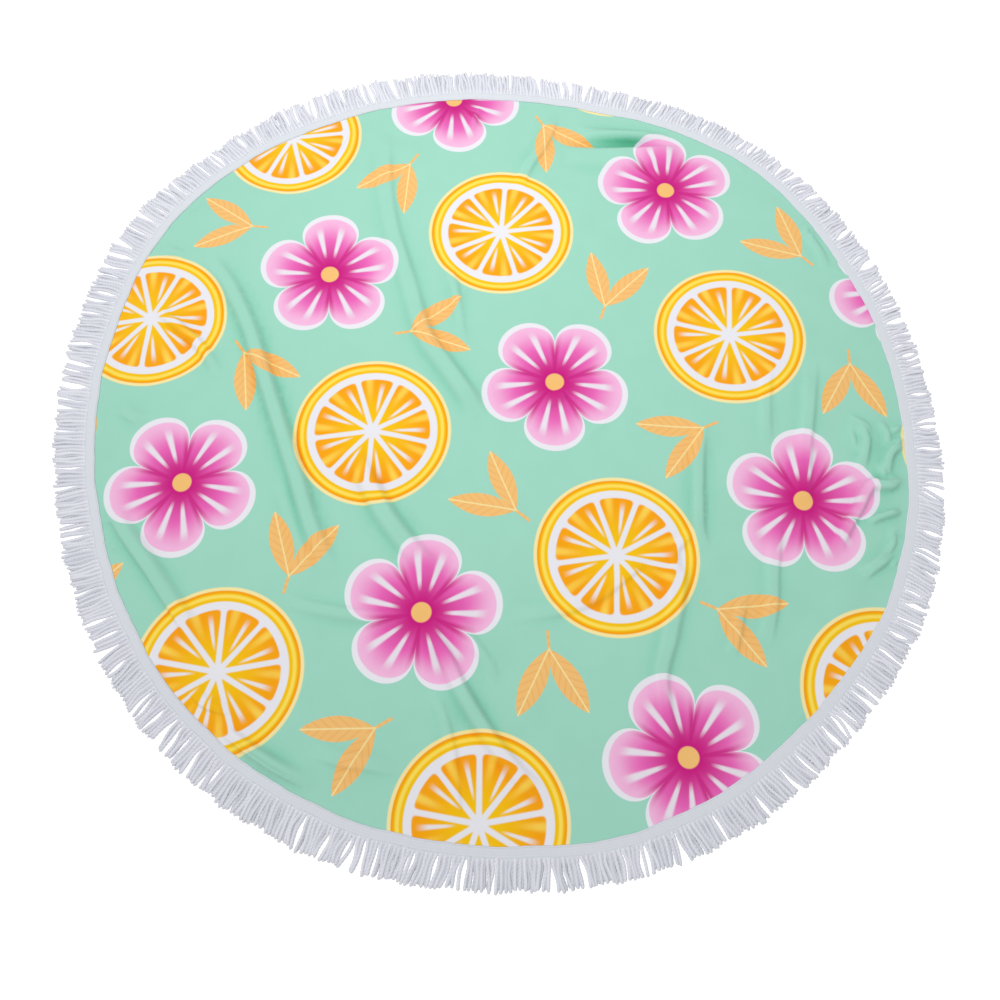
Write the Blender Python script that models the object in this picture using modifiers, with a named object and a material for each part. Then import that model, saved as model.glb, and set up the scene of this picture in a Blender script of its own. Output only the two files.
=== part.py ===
"""A round beach towel that lies flat: a cloth disc with soft creases, and a fringed tape sewn round it.

Metres, +Z up. The origin is on the floor, under the middle of the towel's box. The tables of the
outline and of the creases are in millimetres from the middle of the cloth.
"""

import math
import random
from collections import namedtuple

import bmesh
import bpy
from mathutils import Vector
from mathutils.geometry import delaunay_2d_cdt

NAME = "round_beach_towel"
MM = 0.001
FLOOR = 0.0

# From the middle of the cloth to the middle of the towel's box
MIDDLE_X = 8.8 * MM
MIDDLE_Y = 0.3 * MM

# The cloth
CLOTH_THICKNESS = 1.6 * MM
FIELD_STEP = 95 * MM  # between the points of the flat cloth
FIELD_REACH = 750 * MM  # how far out those points are looked for
EDGE_CLEAR = 30 * MM  # from the cloth's edge to the first of those points
CREASE_CLEAR = 25 * MM  # from a crease's foot to the nearest of those points

# The creases
CREASE_STEP = 26 * MM  # between the sections along a crease
HEADING_STEP = 0.01  # share of a crease's length over which its direction is taken
ACROSS = (-1.0, -0.4, 0.0, 0.4, 1.0)  # right foot, shoulder, crest, shoulder, left foot, in reaches
FLANK = 0.65  # share of a crease's reach over which it falls to the floor

# The tape, which covers the cloth's edge and steps down to the floor outside it
TAPE_WIDTH = 20 * MM
TAPE_OVER_CLOTH = 12 * MM  # how far the cloth runs under the tape
TAPE_THICKNESS = 1.3 * MM
TAPE_FLOOR_THICKNESS = 1.6 * MM  # where it lies on the floor, with the fringe's roots in it
SEAT_GAP = 0.3 * MM  # between the cloth and the tape
EDGE_GAP = 0.4 * MM  # from the cloth's cut edge to the step in the tape
STEP_RUN = 1.2 * MM  # how far the tape's upper face runs out as it steps down

# The fringe
SECTORS = 150  # of the tape
LOCKS = 2 * SECTORS
SEED = 7
ROOT_SHARE = (0.68, 0.84)  # a lock's root, as a share of the pitch
TIP_SHARE = (0.50, 0.66)
BELLY_PLACE = 0.45  # where a lock is thickest, as a share of its length
BELLY_THICKNESS = 4.0 * MM
TIP_THICKNESS = 3.0 * MM
LENGTH_SPREAD = 0.06
LEAN_JITTER = 0.8 * MM
# Waves in which the locks lean to one side or the other as they go round
Wave = namedtuple("Wave", "amount turns start")
LEAN_WAVES = (
    Wave(6 * MM, 5, 0.4),
    Wave(4 * MM, 13, 2.1),
    Wave(2 * MM, 29, 4.0),
)

# The outline: one row every 15 degrees, anticlockwise from +X
Rim = namedtuple("Rim", "cloth_radius trim_width")
OUTLINE = (
    Rim(685, 59),
    Rim(689, 56),
    Rim(692, 60),
    Rim(703, 53),
    Rim(692, 59),
    Rim(676, 61),
    Rim(680, 67),
    Rim(692, 71),
    Rim(705, 76),
    Rim(719, 64),
    Rim(721, 73),
    Rim(702, 73),
    Rim(689, 70),
    Rim(680, 68),
    Rim(680, 68),
    Rim(684, 69),
    Rim(685, 68),
    Rim(686, 66),
    Rim(687, 62),
    Rim(696, 61),
    Rim(694, 65),
    Rim(690, 64),
    Rim(696, 62),
    Rim(693, 60),
)

# The creases: soft ridges, each along the spots on its crest with the height at each spot, and all clear of
# one another and of the tape. Left and right are how far a ridge reaches to either side of someone who walks
# along it, at its start and at its end
Crease = namedtuple("Crease", "left right crest")
CREASES = (
    # left: the long one, and short ones towards the edge
    Crease(
        (19, 19),
        (19, 19),
        (
            (-538, 318, 0),
            (-518, 293, 4),
            (-485, 248, 8),
            (-444, 165, 10),
            (-412, 80, 11),
            (-382, 0, 11),
            (-342, -105, 10),
            (-310, -195, 9),
            (-266, -290, 0),
        ),
    ),
    Crease((12, 12), (12, 12), ((-620, 333, 0), (-595, 323, 4), (-573, 313, 0))),
    Crease(
        (13, 13),
        (13, 13),
        ((-615, 205, 0), (-580, 176, 7), (-550, 150, 8), (-522, 122, 6), (-502, 94, 4), (-490, 68, 0)),
    ),
    Crease((22, 22), (10, 10), ((-656, 9, 0), (-632, -8, 5), (-606, -24, 0))),
    # from the far edge to the middle, with a short one beside it
    Crease(
        (14, 22),
        (28, 22),
        (
            (-222, 600, 0),
            (-216, 512, 4),
            (-209, 440, 5),
            (-195, 370, 6),
            (-176, 305, 7),
            (-158, 245, 7),
            (-141, 180, 8),
            (-122, 133, 9),
            (-98, 98, 9),
            (-70, 55, 9),
            (-50, 23, 7),
            (-32, -10, 0),
        ),
    ),
    Crease((12, 12), (12, 12), ((-94, 300, 0), (-82, 250, 5), (-73, 195, 5), (-64, 132, 0))),
    Crease((12, 12), (16, 16), ((130, 52, 0), (100, 30, 3), (62, 4, 0))),
    # across the middle, then on towards the near edge
    Crease(
        (22, 22),
        (24, 24),
        (
            (-252, -60, 0),
            (-228, -108, 7),
            (-207, -148, 10),
            (-188, -182, 10),
            (-163, -216, 10),
            (-138, -246, 8),
            (-98, -290, 0),
        ),
    ),
    Crease(
        (10, 18),
        (20, 18),
        (
            (-112, -352, 0),
            (-98, -387, 6),
            (-84, -409, 8),
            (-71, -437, 9),
            (-58, -464, 9),
            (-32, -507, 10),
            (-8, -543, 9),
            (22, -580, 7),
            (48, -606, 4),
            (75, -618, 0),
        ),
    ),
    Crease(
        (10, 10),
        (14, 14),
        ((-106, -462, 0), (-85, -505, 4), (-70, -560, 4), (-63, -620, 3), (-61, -650, 0)),
    ),
    Crease(
        (12, 12),
        (12, 12),
        ((-72, -350, 0), (-58, -370, 3), (-40, -395, 4), (-24, -417, 4), (-13, -436, 3), (-6, -458, 0)),
    ),
    # near left edge
    Crease(
        (24, 24),
        (12, 12),
        (
            (-641, -171, 0),
            (-622, -201, 6),
            (-595, -236, 8),
            (-570, -266, 8),
            (-550, -292, 8),
            (-524, -326, 7),
            (-500, -358, 5),
            (-474, -402, 0),
        ),
    ),
    Crease((18, 18), (7, 7), ((-480, -460, 0), (-452, -486, 4), (-427, -496, 4), (-402, -499, 0))),
    Crease(
        (13, 20),
        (9, 9),
        ((-420, -522, 0), (-393, -541, 6), (-362, -562, 8), (-328, -582, 8), (-276, -609, 0)),
    ),
    Crease(
        (12, 12),
        (18, 18),
        ((-350, -322, 0), (-300, -336, 4), (-240, -347, 5), (-190, -353, 4), (-155, -357, 0)),
    ),
    Crease((22, 22), (11, 11), ((-285, -556, 0), (-240, -570, 4), (-190, -578, 4), (-135, -586, 0))),
    # far edge: two with a valley between them, and short ones
    Crease(
        (28, 28),
        (40, 40),
        ((125, 562, 0), (160, 557, 6), (205, 553, 9), (260, 554, 10), (312, 558, 8), (350, 562, 0)),
    ),
    Crease(
        (16, 8),
        (16, 12),
        ((150, 612, 0), (190, 607, 4), (235, 604, 5), (270, 603, 3), (300, 604, 0)),
    ),
    Crease(
        (11, 11),
        (20, 20),
        ((108, 640, 0), (99, 600, 4), (80, 558, 5), (60, 522, 5), (46, 490, 3), (38, 466, 0)),
    ),
    Crease((9, 9), (9, 9), ((-30, 660, 0), (-45, 645, 4), (-52, 620, 3), (-56, 598, 0))),
    Crease((20, 20), (10, 10), ((-278, 606, 0), (-292, 572, 3), (-308, 530, 3), (-318, 505, 0))),
    # right of the middle
    Crease(
        (14, 14),
        (16, 16),
        ((346, -15, 0), (336, -75, 6), (330, -125, 8), (326, -178, 9), (326, -212, 6), (334, -244, 0)),
    ),
    Crease(
        (24, 12),
        (28, 14),
        (
            (289, -262, 0),
            (284, -292, 7),
            (279, -328, 7),
            (266, -385, 7),
            (250, -440, 7),
            (252, -500, 6),
            (266, -550, 0),
        ),
    ),
    Crease(
        (12, 12),
        (22, 22),
        ((238, -255, 0), (215, -276, 4), (185, -300, 5), (148, -326, 5), (90, -345, 4), (-2, -358, 0)),
    ),
    Crease(
        (12, 12),
        (20, 20),
        ((454, -195, 0), (446, -245, 5), (437, -300, 6), (429, -350, 5), (415, -400, 0)),
    ),
    Crease((10, 10), (14, 14), ((392, -310, 0), (380, -348, 4), (368, -392, 4), (360, -418, 0))),
    Crease(
        (13, 13),
        (22, 22),
        ((550, 100, 0), (540, 50, 4), (528, -10, 6), (516, -70, 6), (508, -130, 4), (503, -165, 0)),
    ),
    Crease((11, 11), (18, 18), ((470, 95, 0), (462, 40, 3), (455, -20, 3), (452, -60, 0))),
    # puckers at the right edge
    Crease((10, 10), (14, 14), ((604, -16, 0), (618, -46, 8), (613, -76, 8), (604, -106, 0))),
    Crease((10, 10), (8, 8), ((646, -14, 0), (655, -40, 6), (653, -68, 0))),
    Crease(
        (13, 13),
        (14, 14),
        (
            (664, -118, 0),
            (650, -132, 9),
            (634, -134, 10),
            (617, -132, 10),
            (601, -150, 10),
            (590, -171, 9),
            (574, -194, 8),
            (558, -219, 6),
            (545, -244, 0),
        ),
    ),
    Crease(
        (10, 10),
        (8, 8),
        ((658, -176, 0), (645, -181, 8), (630, -185, 8), (612, -192, 6), (602, -197, 0)),
    ),
    Crease((12, 12), (16, 16), ((633, -246, 0), (616, -262, 7), (597, -275, 7), (578, -289, 0))),
    Crease((12, 12), (12, 12), ((560, 378, 0), (576, 350, 4), (590, 318, 4), (596, 288, 0))),
)


def between(before, start, end, after, share):
    """A smooth curve's value at a share of the way from start to end."""
    rise = end - before
    fall = after - start
    bend = 3 * (end - start)
    return (
        start
        + share * rise / 2
        + share**2 * (bend - rise - fall / 2)
        + share**3 * ((rise + fall) / 2 - bend + (end - start))
    )


def around(column, angle):
    """A column of the outline's table at an angle in radians, in metres."""
    rows = len(OUTLINE)
    place = (angle / math.tau * rows) % rows
    row = int(place)
    near = [getattr(OUTLINE[(row + step) % rows], column) for step in (-1, 0, 1, 2)]
    return between(*near, place - row) * MM


def polar(radius, angle, height=0.0):
    return Vector((radius * math.cos(angle), radius * math.sin(angle), height))


def smooth(share):
    share = min(max(share, 0.0), 1.0)
    return share * share * (3 - 2 * share)


def along(spots, share):
    """The place at a share of the way along a row of spots, in metres."""
    places = [Vector(spot) * MM for spot in spots]
    places = [2 * places[0] - places[1], *places, 2 * places[-1] - places[-2]]
    spans = len(spots) - 1
    place = share * spans
    span = min(int(place), spans - 1)
    return between(*places[span : span + 4], place - span)


def crease_sections(crease):
    """The crease's sections: for each, its five points across with their heights above the floor."""
    crest = [Vector(spot) * MM for spot in crease.crest]
    length = sum((after - spot).length for spot, after in zip(crest, crest[1:]))
    steps = max(3, round(length / CREASE_STEP))
    sections = []
    for step in range(steps + 1):
        share = step / steps
        spot = along(crease.crest, share)
        ahead = along(crease.crest, min(share + HEADING_STEP, 1.0))
        heading = ahead - along(crease.crest, max(share - HEADING_STEP, 0.0))
        leftward = Vector((-heading.y, heading.x)).normalized()
        section = []
        for across in ACROSS:
            start, end = crease.left if across > 0 else crease.right
            reach = (start + share * (end - start)) * MM
            rise = max(spot.z, 0.0) * smooth((1 - abs(across)) / FLANK)
            section.append((spot.xy + leftward * across * reach, rise))
        sections.append(section)
    return sections


class Sheet:
    """The points and the lines that the cloth's mesh is drawn through, with the points' heights."""

    def __init__(self):
        self.points = []
        self.heights = []
        self.lines = []

    def add(self, point, height=0.0):
        self.points.append(Vector((point[0], point[1])))
        self.heights.append(height)
        return len(self.points) - 1

    def add_crease(self, crease):
        rows = [[self.add(*spot) for spot in section] for section in crease_sections(crease)]
        for row, after in zip(rows, rows[1:]):
            self.lines += zip(row, after)

    def add_field(self):
        """Points over the flat cloth, clear of the edge and of the creases."""
        taken = list(self.points)
        reach = math.ceil(FIELD_REACH / FIELD_STEP)
        for row in range(-reach, reach + 1):
            for column in range(-reach, reach + 1):
                spot = Vector((column + (row % 2) / 2, row * math.sqrt(3) / 2)) * FIELD_STEP
                edge = around("cloth_radius", math.atan2(spot.y, spot.x))
                if spot.length < edge - EDGE_CLEAR:
                    if all((spot - point).length > CREASE_CLEAR for point in taken):
                        self.add(spot)


def cloth_surface():
    """The cloth's lower face: flat on the floor but for its creases."""
    sheet = Sheet()
    edge = []
    for sector in range(SECTORS):
        angle = sector / SECTORS * math.tau
        edge.append(sheet.add(polar(around("cloth_radius", angle) + TAPE_OVER_CLOTH, angle)))
    for crease in CREASES:
        sheet.add_crease(crease)
    sheet.add_field()
    inside_outline = 1
    result = delaunay_2d_cdt(sheet.points, sheet.lines, [edge], inside_outline, 1e-6)
    points, faces, sources = result[0], result[2], result[3]
    bm = bmesh.new()
    verts = []
    for point, source in zip(points, sources):
        height = max(sheet.heights[index] for index in source)
        verts.append(bm.verts.new((point.x, point.y, FLOOR + height)))
    for face in faces:
        bm.faces.new([verts[index] for index in face])
    bmesh.ops.recalc_face_normals(bm, faces=bm.faces)
    if sum(face.normal.z for face in bm.faces) < 0:
        bmesh.ops.reverse_faces(bm, faces=bm.faces)
    return bm


def lean(angle):
    """How far the fringe's tips stand to one side of their roots, at an angle."""
    return sum(wave.amount * math.sin(wave.turns * angle + wave.start) for wave in LEAN_WAVES)


def lock_sections(index, rng):
    """A lock's root, belly and tip: for each, its middle, half width, direction and thickness."""
    pitch = math.tau / LOCKS
    angle = (index + 0.5) * pitch
    cloth = around("cloth_radius", angle)
    root = cloth + TAPE_WIDTH
    length = around("trim_width", angle) - TAPE_WIDTH
    length *= 1 + rng.uniform(-LENGTH_SPREAD, LENGTH_SPREAD)
    width = pitch * root
    root_half = width * rng.uniform(*ROOT_SHARE) / 2
    tip_half = width * rng.uniform(*TIP_SHARE) / 2
    sway = lean(angle) + rng.uniform(-LEAN_JITTER, LEAN_JITTER)
    sections = []
    for share, thickness in (
        (0.0, TAPE_FLOOR_THICKNESS),
        (BELLY_PLACE, BELLY_THICKNESS),
        (1.0, TIP_THICKNESS),
    ):
        radius = root + share * length
        half = root_half + (tip_half - root_half) * share**2
        middle = angle + sway * share**1.5 / radius
        sections.append((radius, middle, half / radius, thickness))
    return sections


def ring(bm, count, place):
    """A closed row of points: place gives each one's position from its number."""
    return [bm.verts.new(place(number)) for number in range(count)]


def strip(bm, row_a, row_b):
    """Quads between two closed rows of as many points."""
    for (a, a_next), (b, b_next) in zip(pairs(row_a), pairs(row_b)):
        bm.faces.new((a, a_next, b_next, b))


def pairs(row):
    return zip(row, row[1:] + row[:1])


def fan_strip(bm, coarse, fine):
    """Flat faces between a closed row and a finer one outside it."""
    ratio = len(fine) // len(coarse)
    for number, (inner, inner_next) in enumerate(pairs(coarse)):
        first = number * ratio
        outer = [fine[(first + step) % len(fine)] for step in range(ratio + 1)]
        bm.faces.new([inner, *outer, inner_next])


def tape_row(bm, offset, height):
    """A closed row of points, one a sector, at an offset from the tape's inner edge."""

    def place(sector):
        angle = sector / SECTORS * math.tau
        return polar(around("cloth_radius", angle) + offset, angle, height)

    return ring(bm, SECTORS, place)


def section_points(section):
    """A lock section's four corners: low and high on its right side, then high and low on its left."""
    radius, middle, half, thickness = section
    return (
        polar(radius, middle - half, FLOOR),
        polar(radius, middle - half, FLOOR + thickness),
        polar(radius, middle + half, FLOOR + thickness),
        polar(radius, middle + half, FLOOR),
    )


def trim_mesh():
    """The tape, and the locks of fringe that grow out of its outer edge and lie on the floor."""
    bm = bmesh.new()
    rng = random.Random(SEED)
    on_cloth = FLOOR + CLOTH_THICKNESS + SEAT_GAP
    low_step = TAPE_OVER_CLOTH + EDGE_GAP
    inner_low = tape_row(bm, 0.0, on_cloth)
    inner_high = tape_row(bm, 0.0, on_cloth + TAPE_THICKNESS)
    step_high = tape_row(bm, low_step, on_cloth + TAPE_THICKNESS)
    foot_high = tape_row(bm, low_step + STEP_RUN, FLOOR + TAPE_FLOOR_THICKNESS)
    step_low = tape_row(bm, low_step, on_cloth)
    foot_low = tape_row(bm, low_step, FLOOR)
    strip(bm, inner_low, inner_high)
    strip(bm, inner_high, step_high)
    strip(bm, step_high, foot_high)
    strip(bm, step_low, inner_low)
    strip(bm, foot_low, step_low)
    outer_low = []
    outer_high = []
    for index in range(LOCKS):
        sections = lock_sections(index, rng)
        corners = [[bm.verts.new(point) for point in section_points(s)] for s in sections]
        for section, after in zip(corners, corners[1:]):
            for (a, a_next), (b, b_next) in zip(pairs(section), pairs(after)):
                bm.faces.new((a, a_next, b_next, b))
        bm.faces.new(corners[-1])
        low_right, high_right, high_left, low_left = corners[0]
        outer_low += [low_right, low_left]
        outer_high += [high_right, high_left]
    fan_strip(bm, foot_high, outer_high)
    fan_strip(bm, foot_low, outer_low)
    for number in range(1, 2 * LOCKS, 2):
        after = (number + 1) % (2 * LOCKS)
        bm.faces.new((outer_low[number], outer_high[number], outer_high[after], outer_low[after]))
    bmesh.ops.triangulate(bm, faces=bm.faces)
    bmesh.ops.recalc_face_normals(bm, faces=bm.faces)
    return bm


def material(name, colour, roughness):
    made = bpy.data.materials.new(name)
    made.use_nodes = True
    shader = made.node_tree.nodes["Principled BSDF"]
    shader.inputs["Base Color"].default_value = (*colour, 1.0)
    shader.inputs["Roughness"].default_value = roughness
    shader.inputs["Metallic"].default_value = 0.0
    return made


def finish(name, bm, collection, looks):
    """An object from a finished bmesh, moved so that the origin is under the middle of the box."""
    mesh = bpy.data.meshes.new(name)
    bm.to_mesh(mesh)
    bm.free()
    mesh.materials.append(looks)
    made = bpy.data.objects.new(name, mesh)
    made.location = (MIDDLE_X, MIDDLE_Y, 0.0)
    collection.objects.link(made)
    return made


def build():
    for old in list(bpy.data.objects):
        bpy.data.objects.remove(old)
    collection = bpy.data.collections.new(NAME)
    bpy.context.scene.collection.children.link(collection)
    mint = material("towel_print", (0.33, 0.70, 0.55), 0.9)
    white = material("towel_trim", (0.80, 0.81, 0.86), 0.95)
    panel = finish("towel_panel", cloth_surface(), collection, mint)
    thick = panel.modifiers.new("thickness", "SOLIDIFY")
    thick.thickness = CLOTH_THICKNESS
    thick.offset = 1.0
    finish("fringe_trim", trim_mesh(), collection, white)


build()
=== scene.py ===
"""The looks of a round beach towel: printed cloth with soft creases, a sewn tape and a twisted fringe.

Metres, +Z up, in the frame's own axes. The tables of the outline and of the creases are in millimetres
from the middle of the cloth, which lies MIDDLE_X and MIDDLE_Y from the origin.
"""

import math
import random
from collections import namedtuple

import bmesh
import bpy
import numpy as np
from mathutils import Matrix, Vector


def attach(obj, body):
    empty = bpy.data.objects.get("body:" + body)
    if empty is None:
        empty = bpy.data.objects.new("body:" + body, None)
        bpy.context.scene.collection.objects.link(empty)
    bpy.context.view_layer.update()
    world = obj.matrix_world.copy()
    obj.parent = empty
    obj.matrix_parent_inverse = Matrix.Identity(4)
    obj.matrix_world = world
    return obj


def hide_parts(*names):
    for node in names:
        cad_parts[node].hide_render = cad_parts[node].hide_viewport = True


MM = 0.001

# From the middle of the cloth to the origin, which is under the middle of the towel's box
MIDDLE_X = 8.8 * MM
MIDDLE_Y = 0.3 * MM

# The cloth
CLOTH_TOP = 1.6 * MM
CLOTH_THICKNESS = 1.3 * MM
CLOTH_CELLS = 104  # on each side of its grid
CREASE_CUTS = 3  # of each grid line beside a crease
CREASE_MARGIN = 5 * MM  # how far beside a crease the lines are cut
UNDER_TAPE = 12 * MM  # how far the cloth runs under the tape
CREASE_SAMPLE = 3 * MM  # between the places along a crest
FLANK = 0.65  # share of a crease's reach over which it falls to the floor
CREASE_FADE = 9 * MM  # how far from the tape the creases are at their full height
RIPPLE_FADE = 60 * MM  # and the ripples
RIPPLE_LIFT = 1.5 * MM  # the mean height of the ripples

# Painted shade in the folds: how much darker the colours are painted on a fold's slopes and in its hollows,
# where light bounces between its sides
FOLD_GRID = 4 * MM
FOLD_REACH = 740 * MM  # of the grid, from the middle
FOLD_BLUR = 5 * MM  # of the slopes and the tucks
FOLD_PER_SLOPE = 0.3
HOLLOW_BLUR = 14 * MM  # how far round a spot the mean height is taken
FOLD_PER_DEPTH = 0.13 / MM  # for how far the spot is below that
FOLD_GAIN = (0.3, 1.1)  # for the depth and for its cube

# Waves round the towel: how far each goes to either side, in millimetres, how many there are, and where
# they start, in radians
Wave = namedtuple("Wave", "amount turns start")

# The tape, with the waver of its inner edge and the low wrinkles in its upper face
TAPE_CELLS = 1400
TAPE_WIDTH = 20 * MM
TAPE_RADIUS = 700 * MM  # of the line along which its weave is measured
TAPE_WAVER = (Wave(0.7, 23, 0.9), Wave(0.5, 41, 3.3), Wave(0.35, 67, 5.1), Wave(0.2, 151, 1.7))
TAPE_TOP_FROM = 2.0 * MM  # the height above which its points are in its upper face
Wrinkle = namedtuple("Wrinkle", "turns height")
TAPE_WRINKLES = (Wrinkle(97, 0.10), Wrinkle(211, 0.12), Wrinkle(389, 0.10))

# The stitches, with the place of each cross section in half lengths and its size
STITCH_PITCH = 4.2 * MM
STITCH_LENGTH = 3.2 * MM
STITCH_HALF_THICKNESS = 0.4 * MM
STITCH_SIDES = 5
STITCH_HEIGHT = 3.25 * MM
STITCH_SINK = 0.35 * MM  # how much lower a cross section of no size would be
STITCH_SECTIONS = ((-1.0, 0.35), (-0.72, 0.95), (0.72, 0.95), (1.0, 0.35))
STITCH_ROWS = (2.4 * MM, 15.5 * MM)  # from the tape's inner edge
STITCH_ROW_RADIUS = 690 * MM  # by which the stitches of a row are counted

# The fringe: soft strands, two plies wound round each other, and shorter ones under them
STRANDS = 660
FRINGE_PIECES = 4
STRAND_WIDE = 2.75 * MM  # from its middle to its side
STRAND_HIGH = 1.9 * MM
STRAND_RINGS = 34
STRAND_SIDES = 8
STRAND_HEIGHT = 2.4 * MM  # of its middle above the floor
ROOT_HEIGHT = 1.95 * MM
ROOT_WIDE = 1.25  # how much wider a strand is at its root, where it is fused to the next
ROOT_HIGH = 0.45
ROOT_INSIDE = 6 * MM  # how far a strand starts inside the tape's outer edge
ROOT_SPREAD = 3 * MM  # between the strands that start furthest out and furthest in
ENDS = (0.9, 0.5)  # the sizes of a strand's last two rings
LOWEST = 0.15 * MM  # that any point of one may be
PLY_RELIEF = 0.11
TWIST_PITCH = 10.5 * MM
UNDER_RINGS = 18
UNDER_SIDES = 6
UNDER_SIZE = 0.9
UNDER_HEIGHT = 1.9 * MM
UNDER_LENGTH = 0.93
# With this tone the yarn's material paints shade on the strands that lie under the others
UNDER_TONE = -1.0  # by which the yarn's material knows them
SEED = 11

# Shares of a strand's length: where it has come down from the tape, is lifted, and sways in full
SETTLED_BY = 0.24
LIFTED_BY = 0.4
SWAYS_BY = 0.5
LEAN_POWER = 1.4  # of the share, for how far it leans there
PARTED_POWER = 0.8  # of the share beyond where it parts from the next

# How uneven the strands are: shares of their pitch, length or size, and millimetres
PLACE_JITTER = 0.08
LENGTH_SHARE = 0.985  # of the trim's width outside the tape
LENGTH_JITTER = (-0.03, 0.025)
SIZE_JITTER = (0.92, 1.08)
LEAN_JITTER = 0.8
BOW_JITTER = 0.5
STRAYS = 0.06  # the share of strands that lie across the others
STRAY_LEAN = (2.0, 4.5)
STRAY_LIFT = 1.2

# On the far side they are shorter, and more uneven in length, and more of them stray
FAR_SHORTER = 0.03
FAR_JITTER = 1.4
FAR_STRAYS = 2
FAR_FROM = 0.2  # the least farness of a place where that side's own partings may be

# Where the strands part: the share of the places between two strands, how far each side moves at least and
# at most, how many strands share the move, whether the tips meet again, and whether on the far side alone
Parting = namedtuple("Parting", "share low high strands closed far_only")
PARTINGS = (
    Parting(0.13, 1.0, 2.8, 1.7, True, False),
    Parting(0.07, 1.0, 3.0, 2.2, False, False),
    Parting(0.045, 3.2, 6.0, 3.2, False, False),
    Parting(0.09, 1.4, 3.2, 1.6, False, True),
)
PARTS_AT = (0.16, 0.34)  # share of the strands' length at which they part

# Waves in which neighbouring strands sway together: how far, how many waves round the towel, how fast the
# sway turns along a strand, and where it starts
Sway = namedtuple("Sway", "amount turns twist start")
SWAYS = (Sway(1.4, 71, 2.6, 0.3), Sway(0.9, 127, -4.4, 2.2), Sway(0.5, 241, 6.5, 4.1))
LENGTH_WAVES = (Wave(0.035, 47, 0.5), Wave(0.028, 109, 2.9), Wave(0.02, 187, 1.3))  # in shares of it
LEAN_WAVES = (Wave(5, 5, 0.4), Wave(3.5, 13, 2.1), Wave(2, 29, 4.0))

# The weave and the low relief of the materials
WEAVE_PITCH = 1.6 * MM
RIB_PITCH = 2.2 * MM  # of the ribs across the tape
LINE_PITCH = 4 * MM  # of the lines along it
CLOTH_RELIEF = 0.4 * MM
YARN_RELIEF = 0.3 * MM
THREAD_RELIEF = 0.2 * MM

# The floor, the light and the camera
FLOOR_REACH = 12.0
FLOOR_DROP = 0.2 * MM  # below the towel
FLOOR_TONE = (0.93, 0.93, 0.93, 1.0)
FLOOR_GLOW = 0.35
WHITE = (1.0, 1.0, 1.0, 1.0)
SKY_STRENGTH = 0.36
SUN_FROM = (-0.28, -0.16, 1.0)
SUN_STRENGTH = 1.5
SUN_WIDTH = 18  # degrees across
LAMP_PLACE = (-0.1, 0.5, 1.3)
LAMP_WIDTH = 0.7
LAMP_POWER = 7.0
CAMERA_PLACE = (9.97 * MM, -618.93 * MM, 1312.39 * MM)
CAMERA_TILT = 19.37  # degrees from looking straight down
LENS = 30.33  # millimetres, as is the sensor's width
SENSOR = 36

# The outline: one row every 15 degrees, anticlockwise from +X, with a quarter turn to a line
Rim = namedtuple("Rim", "cloth_radius trim_width")
OUTLINE = (
    Rim(685, 59), Rim(689, 56), Rim(692, 60), Rim(703, 53), Rim(692, 59), Rim(676, 61),
    Rim(680, 67), Rim(692, 71), Rim(705, 76), Rim(719, 64), Rim(721, 73), Rim(702, 73),
    Rim(689, 70), Rim(680, 68), Rim(680, 68), Rim(684, 69), Rim(685, 68), Rim(686, 66),
    Rim(687, 62), Rim(696, 61), Rim(694, 65), Rim(690, 64), Rim(696, 62), Rim(693, 60),
)

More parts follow.
